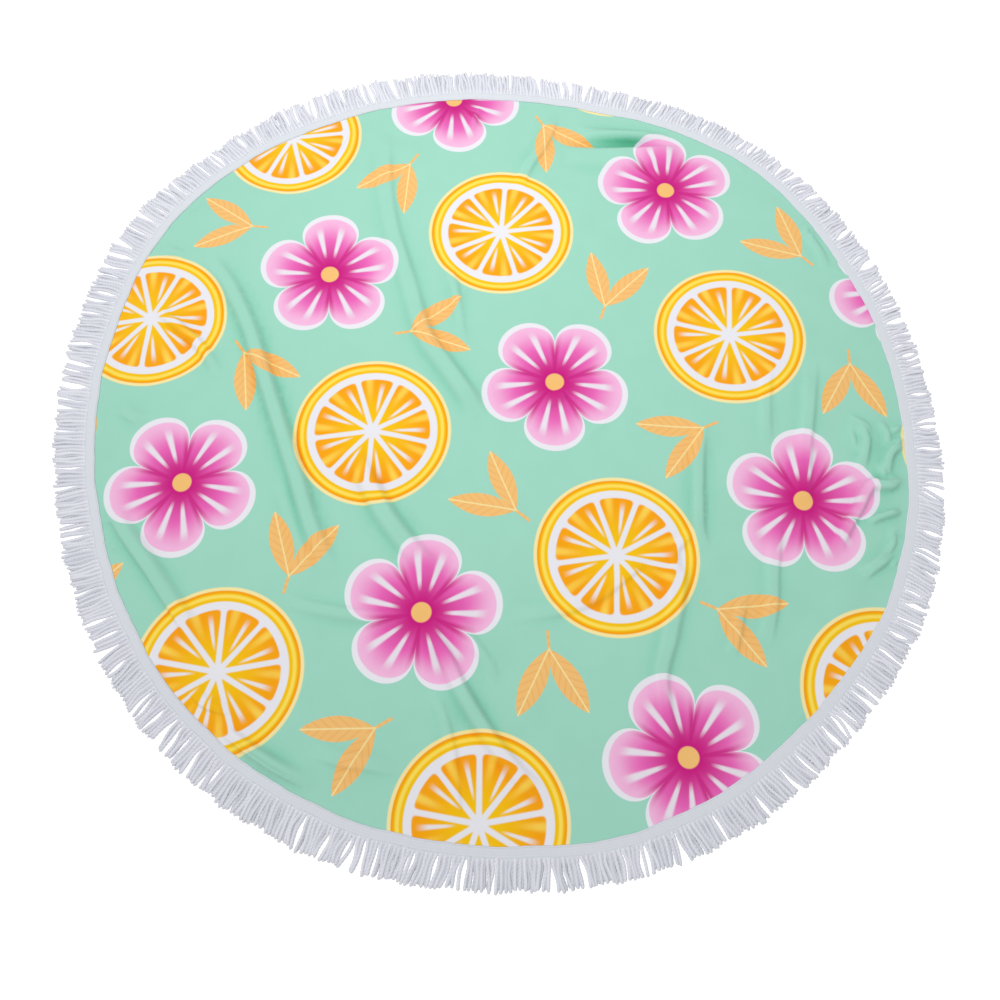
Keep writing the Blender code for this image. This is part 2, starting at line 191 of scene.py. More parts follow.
# The creases: soft ridges, each along the row of spots on its crest, with the height at each spot. Left and
# right are how far the ridge reaches to either side of someone who walks along it, at its start and its end
Crease = namedtuple("Crease", "left right crest")
CREASES = (
    # left: the long one, and short ones towards the edge
    Crease((19, 19), (19, 19), (
        (-538, 318, 0), (-518, 293, 4), (-485, 248, 8), (-444, 165, 10), (-412, 80, 11), (-382, 0, 11),
        (-342, -105, 10), (-310, -195, 9), (-266, -290, 0),
    )),
    Crease((12, 12), (12, 12), ((-620, 333, 0), (-595, 323, 4), (-573, 313, 0))),
    Crease((13, 13), (13, 13), (
        (-615, 205, 0), (-580, 176, 7), (-550, 150, 8), (-522, 122, 6), (-502, 94, 4), (-490, 68, 0),
    )),
    Crease((22, 22), (10, 10), ((-656, 9, 0), (-632, -8, 5), (-606, -24, 0))),
    # from the far edge to the middle, with a short one beside it
    Crease((14, 22), (28, 22), (
        (-222, 600, 0), (-216, 512, 4), (-209, 440, 5), (-195, 370, 6), (-176, 305, 7), (-158, 245, 7),
        (-141, 180, 8), (-122, 133, 9), (-98, 98, 9), (-70, 55, 9), (-50, 23, 7), (-32, -10, 0),
    )),
    Crease((12, 12), (12, 12), ((-94, 300, 0), (-82, 250, 5), (-73, 195, 5), (-64, 132, 0))),
    Crease((12, 12), (16, 16), ((130, 52, 0), (100, 30, 3), (62, 4, 0))),
    # across the middle, then on towards the near edge
    Crease((22, 22), (24, 24), (
        (-252, -60, 0), (-228, -108, 7), (-207, -148, 10), (-188, -182, 10), (-163, -216, 10),
        (-138, -246, 8), (-98, -290, 0),
    )),
    Crease((10, 18), (20, 18), (
        (-112, -352, 0), (-98, -387, 6), (-84, -409, 8), (-71, -437, 9), (-58, -464, 9),
        (-32, -507, 10), (-8, -543, 9), (22, -580, 7), (48, -606, 4), (75, -618, 0),
    )),
    Crease((10, 10), (14, 14), (
        (-106, -462, 0), (-85, -505, 4), (-70, -560, 4), (-63, -620, 3), (-61, -650, 0),
    )),
    Crease((12, 12), (12, 12), (
        (-72, -350, 0), (-58, -370, 3), (-40, -395, 4), (-24, -417, 4), (-13, -436, 3), (-6, -458, 0),
    )),
    # near left edge
    Crease((24, 24), (12, 12), (
        (-641, -171, 0), (-622, -201, 6), (-595, -236, 8), (-570, -266, 8), (-550, -292, 8),
        (-524, -326, 7), (-500, -358, 5), (-474, -402, 0),
    )),
    Crease((18, 18), (7, 7), ((-480, -460, 0), (-452, -486, 4), (-427, -496, 4), (-402, -499, 0))),
    Crease((13, 20), (9, 9), (
        (-420, -522, 0), (-393, -541, 6), (-362, -562, 8), (-328, -582, 8), (-276, -609, 0),
    )),
    Crease((12, 12), (18, 18), (
        (-350, -322, 0), (-300, -336, 4), (-240, -347, 5), (-190, -353, 4), (-155, -357, 0),
    )),
    Crease((22, 22), (11, 11), ((-285, -556, 0), (-240, -570, 4), (-190, -578, 4), (-135, -586, 0))),
    # far edge: two with a valley between them, and short ones
    Crease((20, 20), (40, 40), (
        (125, 553, 0), (160, 548, 6), (205, 544, 9), (260, 545, 10), (312, 549, 8), (350, 553, 0),
    )),
    Crease((16, 8), (16, 12), (
        (150, 603, 0), (190, 598, 4), (235, 595, 5), (270, 594, 3), (300, 595, 0),
    )),
    Crease((11, 11), (20, 20), (
        (108, 640, 0), (99, 600, 4), (80, 558, 5), (60, 522, 5), (46, 490, 3), (38, 466, 0),
    )),
    Crease((9, 9), (9, 9), ((-30, 660, 0), (-45, 645, 4), (-52, 620, 3), (-56, 598, 0))),
    Crease((20, 20), (10, 10), ((-278, 606, 0), (-292, 572, 3), (-308, 530, 3), (-318, 505, 0))),
    # right of the middle
    Crease((14, 14), (16, 16), (
        (346, -15, 0), (336, -75, 6), (330, -125, 8), (326, -178, 9), (326, -212, 6), (334, -244, 0),
    )),
    Crease((24, 12), (28, 14), (
        (289, -262, 0), (284, -292, 7), (279, -328, 7), (266, -385, 7), (250, -440, 7), (252, -500, 6),
        (266, -550, 0),
    )),
    Crease((12, 12), (22, 22), (
        (238, -255, 0), (215, -276, 4), (185, -300, 5), (148, -326, 5), (90, -345, 4), (-2, -358, 0),
    )),
    Crease((12, 12), (20, 20), (
        (454, -195, 0), (446, -245, 5), (437, -300, 6), (429, -350, 5), (415, -400, 0),
    )),
    Crease((10, 10), (14, 14), ((392, -310, 0), (380, -348, 4), (368, -392, 4), (360, -418, 0))),
    Crease((13, 13), (22, 22), (
        (550, 100, 0), (540, 50, 4), (528, -10, 6), (516, -70, 6), (508, -130, 4), (503, -165, 0),
    )),
    Crease((11, 11), (18, 18), ((470, 95, 0), (462, 40, 3), (455, -20, 3), (452, -60, 0))),
    # puckers at the right edge
    Crease((10, 10), (14, 14), ((604, -16, 0), (618, -46, 8), (613, -76, 8), (604, -106, 0))),
    Crease((10, 10), (8, 8), ((646, -14, 0), (655, -40, 6), (653, -68, 0))),
    Crease((13, 13), (14, 14), (
        (664, -118, 0), (650, -132, 9), (634, -134, 10), (617, -132, 10), (601, -150, 10),
        (590, -171, 9), (574, -194, 8), (558, -219, 6), (545, -244, 0),
    )),
    Crease((10, 10), (8, 8), (
        (658, -176, 0), (645, -181, 8), (630, -185, 8), (612, -192, 6), (602, -197, 0),
    )),
    Crease((12, 12), (16, 16), ((633, -246, 0), (616, -262, 7), (597, -275, 7), (578, -289, 0))),
    Crease((12, 12), (12, 12), ((560, 378, 0), (576, 350, 4), (590, 318, 4), (596, 288, 0))),
)

# Small creases, finer than the solids have
SMALL_CREASES = (
    Crease((12, 12), (8, 8), (
        (312, -208, 0), (299, -226, 4), (283, -243, 5), (281, -262, 4), (284, -288, 0),
    )),
    Crease((8, 8), (8, 8), ((596, -14, 0), (597, -50, 5), (601, -80, 0))),
    Crease((9, 9), (9, 9), ((594, -8, 0), (608, -16, 5), (622, -26, 5), (625, -42, 0))),
    Crease((10, 10), (12, 12), (
        (684, -60, 0), (668, -66, 8), (655, -79, 9), (648, -97, 8), (645, -118, 0),
    )),
    Crease((7, 7), (7, 7), ((633, -92, 0), (637, -110, 5), (645, -124, 0))),
    Crease((9, 9), (9, 9), ((640, -206, 0), (636, -232, 6), (622, -252, 0))),
    Crease((8, 8), (8, 8), ((660, -36, 0), (672, -32, 5), (690, -24, 4))),
    Crease((7, 7), (7, 7), ((662, -54, 0), (672, -54, 4), (689, -46, 4))),
    Crease((8, 8), (9, 9), ((630, -276, 0), (640, -266, 6), (652, -258, 4))),
    Crease((12, 12), (12, 12), (
        (150, 594, 0), (195, 591, 3), (240, 589, 5), (285, 589, 6), (330, 591, 0),
    )),
    Crease((15, 15), (7, 7), (
        (-437, -524, 0), (-404, -548, 3), (-366, -573, 5), (-333, -592, 5), (-300, -608, 0),
    )),
    Crease((12, 12), (12, 12), ((-372, -120, 0), (-347, -180, 3), (-322, -240, 3), (-294, -296, 0))),
    Crease((10, 10), (10, 10), ((135, -60, 0), (160, -30, 2), (190, -12, 0))),
)
# Painted shadows in hollows that little light reaches, written like creases, with how deep they look at each
# spot, which sets how dark the shadow is painted
PAINTED_SHADOWS = (
    Crease((20, 16), (18, 16), (
        (118, 573, 0), (160, 575, 2), (205, 574, 3.2), (250, 574, 3.8), (285, 575, 3), (330, 578, 0),
    )),
)
# The cloth's puckers, which run in from the tape, in millimetres
PUCKERS = 34
PUCKER_TURN = 0.02  # radians, to either side of straight in
PUCKER_LENGTH = (14, 34)
PUCKER_WIDTH = (4, 8)
PUCKER_HEIGHT = (0.8, 2.6)

# Random ripples all over the cloth: the length of their waves, their height, and how many cross
Ripple = namedtuple("Ripple", "wave height count")
RIPPLES = (Ripple(210, 1.5, 9), Ripple(85, 0.9, 13), Ripple(40, 0.2, 17))
RIPPLE_WAVES = (0.8, 1.25)  # the shortest and the longest, in shares of the row's

# The print: two motifs in turn on a slanting lattice, with sprigs of leaves between them
LATTICE_STEP = 325 * MM
LATTICE_SLANT = 0.29  # radians
LATTICE_SHIFT = (96 * MM, 58 * MM)
MOTIF_RADIUS = 128 * MM
SPRIG_RADIUS = 84 * MM

# A cross section of the tape, from its inner lower edge over the top: how far out, and how high
TAPE_SECTION = (
    (0.3, 1.72), (0.0, 2.1), (0.4, 2.7), (1.5, 3.0), (4.0, 3.15), (8.0, 3.2), (12.0, 3.15), (15.5, 3.0),
    (18.5, 2.8), (20.0, 2.4), (20.4, 1.4), (19.8, 0.3), (13.6, 0.3), (12.8, 0.8), (12.5, 1.7), (6.0, 1.7),
)


def between(before, start, end, after, share):
    """A smooth curve's value at a share of the way from start to end."""
    rise = end - before
    fall = after - start
    bend = 3 * (end - start)
    return (
        start
        + share * rise / 2
        + share**2 * (bend - rise - fall / 2)
        + share**3 * ((rise + fall) / 2 - bend + (end - start))
    )


def around(column, angles):
    """A column of the outline's table at angles in radians, in metres."""
    table = np.array([getattr(row, column) for row in OUTLINE]) * MM
    place = (np.asarray(angles) / math.tau * len(table)) % len(table)
    row = place.astype(int)
    near = [table[(row + step) % len(table)] for step in (-1, 0, 1, 2)]
    return between(*near, place - row)


def tape_edge(angles):
    """The tape's inner edge, which wavers a little along the outline."""
    waver = sum(wave.amount * np.sin(wave.turns * angles + wave.start) for wave in TAPE_WAVER)
    return around("cloth_radius", angles) + waver * MM


def smooth(share):
    """A share as it is, but with a soft start and a soft end."""
    share = np.clip(share, 0.0, 1.0)
    return share * share * (3 - 2 * share)


def along(spots, shares):
    """Positions and heights at shares of a crease's crest, in metres."""
    rows = np.array(spots, dtype=float) * MM
    rows = np.vstack((2 * rows[0] - rows[1], rows, 2 * rows[-1] - rows[-2]))
    spans = len(spots) - 1
    place = shares * spans
    span = np.minimum(place.astype(int), spans - 1)
    near = [rows[span + step] for step in range(4)]
    return between(*near, (place - span)[:, None])


def beside(line, spots, reach):
    """The numbers of the spots within reach of a line, their offsets from it, and the nearest place on it."""
    low, high = line.min(axis=0) - reach, line.max(axis=0) + reach
    numbers = np.flatnonzero(np.all((spots > low) & (spots < high), axis=1))
    apart = spots[numbers][:, None, :] - line[None, :, :]
    distance = np.linalg.norm(apart, axis=2)
    nearest = distance.argmin(axis=1)
    rows = np.arange(len(numbers))
    near = distance[rows, nearest] < reach
    return numbers[near], apart[rows, nearest][near], nearest[near]


def crest_line(crease):
    """Places close together along a crest, and the height and the reach to the left and right at each."""
    rows = np.array(crease.crest, dtype=float)[:, :2]
    length = np.linalg.norm(np.diff(rows, axis=0), axis=1).sum() * MM
    shares = np.linspace(0.0, 1.0, max(8, int(length / CREASE_SAMPLE)))
    crest = along(crease.crest, shares)
    left = np.interp(shares, (0, 1), crease.left) * MM
    right = np.interp(shares, (0, 1), crease.right) * MM
    return crest[:, :2], np.maximum(crest[:, 2], 0.0), left, right


def crease_heights(crease, spots):
    """How far a crease lifts the cloth at each spot."""
    line, rise, left, right = crest_line(crease)
    numbers, offset, nearest = beside(line, spots, max(left.max(), right.max()))
    ahead = np.gradient(line, axis=0)[nearest]
    on_left = ahead[:, 0] * offset[:, 1] > ahead[:, 1] * offset[:, 0]
    width = np.where(on_left, left[nearest], right[nearest])
    place = np.linalg.norm(offset, axis=1) / width
    heights = np.zeros(len(spots))
    heights[numbers] = rise[nearest] * smooth((1 - place) / FLANK)
    return heights


def by_a_crease(spots):
    """Which of the spots lie on a crease or just beside one."""
    found = np.zeros(len(spots), dtype=bool)
    for crease in (*CREASES, *SMALL_CREASES):
        line, _, left, right = crest_line(crease)
        numbers, _, _ = beside(line, spots, max(left.max(), right.max()) + CREASE_MARGIN)
        found[numbers] = True
    return found


def puckers(rng):
    """Short creases that run in from the tape."""
    made = []
    for _ in range(PUCKERS):
        angle = rng.uniform(0, math.tau)
        start = float(around("cloth_radius", angle)) / MM
        end = start - rng.uniform(*PUCKER_LENGTH)
        turn = angle + rng.uniform(-PUCKER_TURN, PUCKER_TURN)
        middle = (start + end) / 2
        height = rng.uniform(*PUCKER_HEIGHT)
        width = rng.uniform(*PUCKER_WIDTH)
        places = ((start, angle, height), (middle, (angle + turn) / 2, height), (end, turn, 0))
        crest = tuple((far * math.cos(way), far * math.sin(way), high) for far, way, high in places)
        made.append(Crease((width, width), (width, width), crest))
    return made


def blurred(grid, width):
    """A grid of values, each made a soft average of those around it."""
    reach = math.ceil(3 * width / FOLD_GRID)
    weights = np.exp(-((np.arange(-reach, reach + 1) * FOLD_GRID / width) ** 2) / 2)
    weights /= weights.sum()
    for axis in (0, 1):
        grid = np.apply_along_axis(np.convolve, axis, grid, weights, "same")
    return grid


def painted_fold_shade(creases, spots):
    """How much painted shade darkens the colours at each spot, on a fold's slopes, in its hollows and in the
    painted shadows.
    """
    lines = np.arange(-FOLD_REACH, FOLD_REACH, FOLD_GRID)
    column, row = np.meshgrid(lines, lines)
    places = np.column_stack((column.ravel(), row.ravel()))
    heights = sum(crease_heights(crease, places) for crease in creases).reshape(column.shape)
    painted_shades = FOLD_PER_SLOPE * blurred(np.hypot(*np.gradient(heights, FOLD_GRID)), FOLD_BLUR)
    painted_shades += FOLD_PER_DEPTH * (blurred(heights, HOLLOW_BLUR) - heights)
    # The painted shadows in the hollows darken the colours further
    painted_shadow_grid = sum(crease_heights(painted_shadow, places) for painted_shadow in PAINTED_SHADOWS).reshape(column.shape)
    painted_shades = np.maximum(painted_shades, 0.0) + FOLD_PER_DEPTH * blurred(painted_shadow_grid, FOLD_BLUR)
    place = (spots + FOLD_REACH) / FOLD_GRID
    x, y = place.astype(int).T
    right, up = (place % 1.0).T
    low = painted_shades[y, x] * (1 - right) + painted_shades[y, x + 1] * right
    high = painted_shades[y + 1, x] * (1 - right) + painted_shades[y + 1, x + 1] * right
    shade_amount = low * (1 - up) + high * up
    return FOLD_GAIN[0] * shade_amount + FOLD_GAIN[1] * shade_amount**3


def ripple_heights(spots, rng):
    """How far random shallow ripples lift or lower each spot."""
    heights = np.zeros(len(spots))
    for ripple in RIPPLES:
        for _ in range(ripple.count):
            turn = rng.uniform(0, math.tau)
            wave = ripple.wave * MM * rng.uniform(*RIPPLE_WAVES)
            heading = np.array((math.cos(turn), math.sin(turn))) * math.tau / wave
            phase = rng.uniform(0, math.tau)
            heights += ripple.height * MM / math.sqrt(ripple.count) * np.sin(spots @ heading + phase)
    return heights


def cloth_grid():
    """The flat spots of the cloth's grid, a square bent to the outline."""
    side = np.linspace(-1.0, 1.0, CLOTH_CELLS + 1)
    column, row = np.meshgrid(side, side)
    across = (column * np.sqrt(1 - row**2 / 2)).ravel()
    up = (row * np.sqrt(1 - column**2 / 2)).ravel()
    reach = around("cloth_radius", np.arctan2(up, across)) + UNDER_TAPE
    return np.column_stack((across, up)) * reach[:, None]


def grid_faces(rows, columns):
    """Quads over a grid of rows by columns of points, counted along the rows."""
    first = np.arange(rows - 1)[:, None] * columns + np.arange(columns - 1)[None, :]
    first = first.ravel()
    return np.column_stack((first, first + 1, first + columns + 1, first + columns))


def put(name, data, place):
    """An object in the scene."""
    made = bpy.data.objects.new(name, data)
    made.location = place
    bpy.context.scene.collection.objects.link(made)
    return made


def new_mesh(name, points, faces, looks):
    """An object with its mesh shaded smooth, in place round the middle of the cloth."""
    mesh = bpy.data.meshes.new(name)
    mesh.from_pydata(points, [], faces)
    mesh.shade_smooth()
    for look in looks:
        mesh.materials.append(look)
    return put(name, mesh, (MIDDLE_X, MIDDLE_Y, 0.0))


def set_uv(mesh, name, places):
    """A UV map from one place for each corner of each face."""
    layer = mesh.uv_layers.new(name=name)
    layer.uv.foreach_set("vector", np.asarray(places, dtype=np.float32).ravel())


def at_corners(mesh, values):
    """The values of a mesh's points, for each corner of its faces."""
    corners = np.empty(len(mesh.loops), dtype=int)
    mesh.loops.foreach_get("vertex_index", corners)
    return values[corners]


def fine_at_creases(mesh):
    """Cuts the faces of a flat mesh into smaller ones where the creases will be."""
    work = bmesh.new()
    work.from_mesh(mesh)
    middles = np.array([((edge.verts[0].co + edge.verts[1].co) / 2)[:2] for edge in work.edges])
    chosen = by_a_crease(middles)
    edges = [edge for edge, wanted in zip(work.edges, chosen) if wanted]
    bmesh.ops.subdivide_edges(work, edges=edges, cuts=CREASE_CUTS, use_grid_fill=True)
    work.to_mesh(mesh)
    work.free()


def cloth(looks):
    """The printed cloth: flat on the floor but for its creases and ripples."""
    rng = random.Random(SEED)
    grid = cloth_grid()
    flat = np.column_stack((grid, np.zeros(len(grid))))
    made = new_mesh("printed_cloth", flat, grid_faces(CLOTH_CELLS + 1, CLOTH_CELLS + 1), looks)
    mesh = made.data
    fine_at_creases(mesh)
    mesh.shade_smooth()
    points = np.empty(len(mesh.vertices) * 3)
    mesh.vertices.foreach_get("co", points)
    points = points.reshape(-1, 3)
    spots = points[:, :2].copy()
    edge = around("cloth_radius", np.arctan2(spots[:, 1], spots[:, 0]))
    from_tape = edge - np.hypot(spots[:, 0], spots[:, 1])
    creases = (*CREASES, *SMALL_CREASES, *puckers(rng))
    heights = sum(crease_heights(crease, spots) for crease in creases)
    heights += (ripple_heights(spots, rng) + RIPPLE_LIFT) * smooth(from_tape / RIPPLE_FADE)
    heights *= smooth(from_tape / CREASE_FADE)
    points[:, 2] = CLOTH_TOP + np.maximum(heights, 0.0)
    mesh.vertices.foreach_set("co", points.ravel())
    # Painted shade of the folds, kept at each point for the printed material
    painted_shades = painted_fold_shade(creases, spots)
    mesh.attributes.new("fold", "FLOAT", "POINT").data.foreach_set("value", painted_shades)
    set_uv(mesh, "flat", at_corners(mesh, spots))
    thick = made.modifiers.new("thickness", "SOLIDIFY")
    thick.thickness = CLOTH_THICKNESS
    thick.offset = -1.0
    thick.material_offset = 1
    return made


def tape_points(angles):
    """The points of the tape's cross section at angles in radians, with the wrinkles in its upper face."""
    rng = np.random.default_rng(SEED)
    offsets = np.array([place for place, _ in TAPE_SECTION]) * MM
    heights = np.array([height for _, height in TAPE_SECTION]) * MM
    radius = tape_edge(angles)[:, None] + offsets[None, :]
    x = radius * np.cos(angles)[:, None]
    y = radius * np.sin(angles)[:, None]
    rise = np.zeros(len(angles))
    for row in TAPE_WRINKLES:
        rise += row.height * MM * np.sin(row.turns * angles + rng.uniform(0, math.tau))
    z = heights + np.where(heights > TAPE_TOP_FROM, rise[:, None], 0.0)
    return np.stack((x, y, z), axis=2)


def tape(look):
    """The heading tape that covers the cloth's edge and holds the fringe."""
    points = tape_points(np.arange(TAPE_CELLS) / TAPE_CELLS * math.tau)
    count, sides = points.shape[:2]
    here = np.arange(count)[:, None] * sides + np.arange(sides)[None, :]
    ahead = np.roll(here, -1, axis=0)
    up = np.roll(here, -1, axis=1)
    up_ahead = np.roll(ahead, -1, axis=1)
    faces = np.stack((here, up, up_ahead, ahead), axis=2).reshape(-1, 4)
    made = new_mesh("heading_tape", points.reshape(-1, 3), faces, [look])
    start = np.arange(count) / count * math.tau * TAPE_RADIUS
    end = start + math.tau * TAPE_RADIUS / count
    u = np.stack((start, start, end, end), axis=1)
    offsets = np.array([place for place, _ in TAPE_SECTION]) * MM
    v = np.stack((offsets, np.roll(offsets, -1), np.roll(offsets, -1), offsets), axis=1)
    u = np.broadcast_to(u[:, None, :], (count, sides, 4))
    v = np.broadcast_to(v[None, :, :], (count, sides, 4))
    set_uv(made.data, "flat", np.stack((u, v), axis=3))
    return made


def tubes(name, every, look):
    """One mesh of many closed tubes, each given by its points by ring and side."""
    faces = []
    start = 0
    for points in every:
        rings, sides = points.shape[:2]
        ring = start + np.arange(rings - 1)[:, None] * sides
        side = np.arange(sides)[None, :]
        here = ring + side
        ahead = ring + np.roll(side, -1)
        faces += np.stack((here, ahead, ahead + sides, here + sides), axis=2).reshape(-1, 4).tolist()
        faces.append([start + number for number in reversed(range(sides))])
        faces.append([start + (rings - 1) * sides + number for number in range(sides)])
        start += rings * sides
    return new_mesh(name, np.concatenate([points.reshape(-1, 3) for points in every]), faces, [look])


def stitches(look):
    """The two lines of sewing along the tape, as one mesh of short threads."""
    rows = []
    for row in STITCH_ROWS:
        count = int(math.tau * STITCH_ROW_RADIUS / STITCH_PITCH)
        middle = (np.arange(count) + 0.5) / count * math.tau
        radius = tape_edge(middle) + row
        rings = []
        for place, size in STITCH_SECTIONS:
            angle = middle + place * STITCH_LENGTH / 2 / radius
            half = STITCH_HALF_THICKNESS * size
            ring = []
            for side in range(STITCH_SIDES):
                turn = side / STITCH_SIDES * math.tau
                out = radius + half * math.cos(turn)
                height = STITCH_HEIGHT - STITCH_SINK * (1 - size) + half * math.sin(turn)
                height = np.full(count, height)
                ring.append(np.stack((out * np.cos(angle), out * np.sin(angle), height), axis=1))
            rings.append(np.stack(ring, axis=1))
        rows.append(np.stack(rings, axis=1))
    return tubes("seam_stitches", np.concatenate(rows), look)


Strand = namedtuple("Strand", "angle length lean bow open_by parts_at lift size phase tone under")


def farness(angle):
    """How much a strand belongs to the ragged far side: 1 in its middle, 0 on the near side."""
    return max(0.0, math.sin(angle))


def swing(waves, angle):
    """The sum of some waves at an angle."""
    return sum(wave.amount * math.sin(wave.turns * angle + wave.start) for wave in waves)


def lean(angle):
    """How far the tips stand to one side of their roots, at an angle."""
    return MM * swing(LEAN_WAVES, angle)


def partings(rng):
    """The gaps in the fringe: the number of the strand before each, how far it opens, and its kind."""
    gaps = []
    for parting in PARTINGS:
        for place in rng.sample(range(STRANDS), int(STRANDS * parting.share)):
            size = rng.uniform(parting.low, parting.high) * MM
            if farness(place / STRANDS * math.tau) > FAR_FROM or not parting.far_only:
                gaps.append((place, size, parting))
    return gaps


def moves(gaps, place):
    """How far the partings move a strand sideways along its middle, and at its tip."""
    bow = open_by = 0.0
    for gap, size, parting in gaps:
        apart = (place - gap - 0.5 + STRANDS / 2) % STRANDS - STRANDS / 2
        move = size * math.copysign(math.exp(-abs(apart) / parting.strands), apart)
        if parting.closed:
            bow += move
        else:
            open_by += move
    return bow, open_by


def new_strand(rng, gaps, place, under):
    """A strand at a place that is counted in strands, with its own small differences."""
    angle = (place + 0.5 + rng.uniform(-PLACE_JITTER, PLACE_JITTER)) / STRANDS * math.tau
    far = farness(angle)
    length = float(around("trim_width", angle)) - TAPE_WIDTH
    length *= LENGTH_SHARE - FAR_SHORTER * far + swing(LENGTH_WAVES, angle)
    length *= 1 + rng.uniform(*LENGTH_JITTER) * (1 + FAR_JITTER * far)
    stray = 0
    if not under and rng.random() <= STRAYS * (1 + FAR_STRAYS * far):
        stray = rng.choice((-1, 1)) * rng.uniform(*STRAY_LEAN)
    bow, open_by = moves(gaps, place)
    return Strand(
        angle=angle,
        length=length * (UNDER_LENGTH if under else 1),
        lean=lean(angle) + (rng.gauss(0, LEAN_JITTER) + stray) * MM,
        bow=bow + rng.gauss(0, BOW_JITTER) * MM,
        open_by=open_by,
        parts_at=rng.uniform(*PARTS_AT),
        lift=0.0 if under else (rng.uniform(0.0, 1.0) + (STRAY_LIFT if stray else 0)) * MM,
        size=rng.uniform(*SIZE_JITTER) * (UNDER_SIZE if under else 1),
        phase=rng.uniform(0, math.tau),
        tone=rng.random(),
        under=under,
    )


def strands():
    """Every strand of the fringe, and the shorter ones under them between two that don't part."""
    rng = random.Random(SEED)
    gaps = partings(rng)
    parted = {gap for gap, _, _ in gaps}
    made = []
    for number in range(2 * STRANDS):
        place, under = number / 2, number % 2 == 1
        strand = new_strand(rng, gaps, place, under)
        if not (under and place - 0.5 in parted):
            made.append(strand)
    return made


def strand_grid(strand):
    """How many rings and sides a strand has."""
    return (UNDER_RINGS, UNDER_SIDES) if strand.under else (STRAND_RINGS, STRAND_SIDES)


def strand_aside(strand, share):
    """How far a strand lies to one side of straight out, at shares of its length."""
    parted = np.clip((share - strand.parts_at) / (1 - strand.parts_at), 0.0, 1.0) ** PARTED_POWER
    aside = strand.lean * share**LEAN_POWER + strand.open_by * parted
    aside = aside + strand.bow * np.sin(parted * math.pi)
    for sway in SWAYS:
        turn = sway.turns * strand.angle + sway.twist * share + sway.start
        aside = aside + sway.amount * MM * np.sin(turn) * smooth(share / SWAYS_BY)
    return aside


def strand_points(strand):
    """A strand's points by ring and side: two plies wound round each other, lying on the floor."""
    rings, sides = strand_grid(strand)
    height = UNDER_HEIGHT if strand.under else STRAND_HEIGHT
    share = np.linspace(0.0, 1.0, rings)
    inside = ROOT_INSIDE + (strand.tone - 0.5) * ROOT_SPREAD
    root = float(around("cloth_radius", strand.angle)) + TAPE_WIDTH - inside
    length = strand.length + inside
    out, aside = root + length * share, strand_aside(strand, share)
    x = out * math.cos(strand.angle) - aside * math.sin(strand.angle)
    y = out * math.sin(strand.angle) + aside * math.cos(strand.angle)
    settled = smooth(share / SETTLED_BY)
    z = ROOT_HEIGHT * (1 - settled) + height * settled + strand.lift * smooth(share / LIFTED_BY)
    heading_x, heading_y = np.gradient(x), np.gradient(y)
    size = np.hypot(heading_x, heading_y)
    side_x, side_y = -heading_y / size, heading_x / size
    turn = strand.phase + length * share / TWIST_PITCH * math.tau
    end = np.ones(rings) * strand.size
    end[-2:] *= ENDS
    wide = STRAND_WIDE * (ROOT_WIDE + (1 - ROOT_WIDE) * settled) * end
    high = STRAND_HIGH * (ROOT_HIGH + (1 - ROOT_HIGH) * settled) * end
    rows = []
    for number in range(sides):
        angle = (number + 0.5) / sides * math.tau - math.pi / 2
        reach = 1 + PLY_RELIEF * settled * np.cos(2 * (angle - turn))
        up = np.maximum(z + high * reach * math.sin(angle), LOWEST)
        across = wide * reach * math.cos(angle)
        rows.append(np.stack((x + side_x * across, y + side_y * across, up), axis=1))
    return np.stack(rows, axis=1)


def strand_places(strand):
    """For each point of a strand: its share of the length, and how far round it is from one of the plies."""
    rings, sides = strand_grid(strand)
    share = np.repeat(np.linspace(0.0, 1.0, rings), sides)
    side = np.tile((np.arange(sides) + 0.5) / sides - 0.25, rings)
    turn = strand.phase / math.tau + (strand.length + ROOT_INSIDE) * share / TWIST_PITCH
    return np.stack((share, side - turn), axis=1)


def fringe(look):
    """The strands, joined into one mesh for each quarter of the towel."""
    pieces = []
    every = strands()
    share = math.ceil(len(every) / FRINGE_PIECES)
    for piece in range(FRINGE_PIECES):
        rows = every[piece * share : (piece + 1) * share]
        made = tubes(f"fringe_{piece + 1}", [strand_points(strand) for strand in rows], look)
        tones = [UNDER_TONE if strand.under else strand.tone for strand in rows]
        tones = np.repeat(tones, [math.prod(strand_grid(strand)) for strand in rows])
        made.data.attributes.new("tone", "FLOAT", "POINT").data.foreach_set("value", tones)
        places = np.concatenate([strand_places(strand) for strand in rows])
        set_uv(made.data, "strand", at_corners(made.data, places))
        pieces.append(made)
    return pieces


# ---- Materials ----


def paint(red, green, blue):
    """A colour given as 0 to 255 on a screen, as the linear values that a material takes."""
    channels = [value / 255 for value in (red, green, blue)]
    return tuple(c / 12.92 if c <= 0.04045 else ((c + 0.055) / 1.055) ** 2.4 for c in channels)


MINT = paint(155, 211, 191)
MINT_SHADE = paint(141, 201, 178)
OFF_WHITE = paint(228, 228, 234)
PEACH = paint(238, 187, 114)
PEACH_SHADE = paint(228, 166, 94)
GOLD = paint(242, 192, 6)
AMBER = paint(244, 160, 4)
LEMON = paint(248, 219, 92)
PALE_LEMON = paint(242, 226, 162)
PINK = paint(228, 100, 180)
MAGENTA = paint(196, 25, 125)
BLUSH = paint(238, 183, 218)
TAPE_WHITE = paint(219, 223, 229)
TAPE_SHADE = paint(209, 213, 220)
COTTON = paint(238, 239, 246)
# The darker cotton: tone that differs at random, and painted shade between the plies
COTTON_SHADE = paint(215, 217, 228)
# Painted shade for the strands that lie under the others
COTTON_UNDER_PAINTED_SHADE = paint(210, 212, 220)
COTTON_END = paint(206, 207, 208)
BACK_WHITE = paint(232, 234, 236)
BACK_SHADE = paint(214, 220, 222)


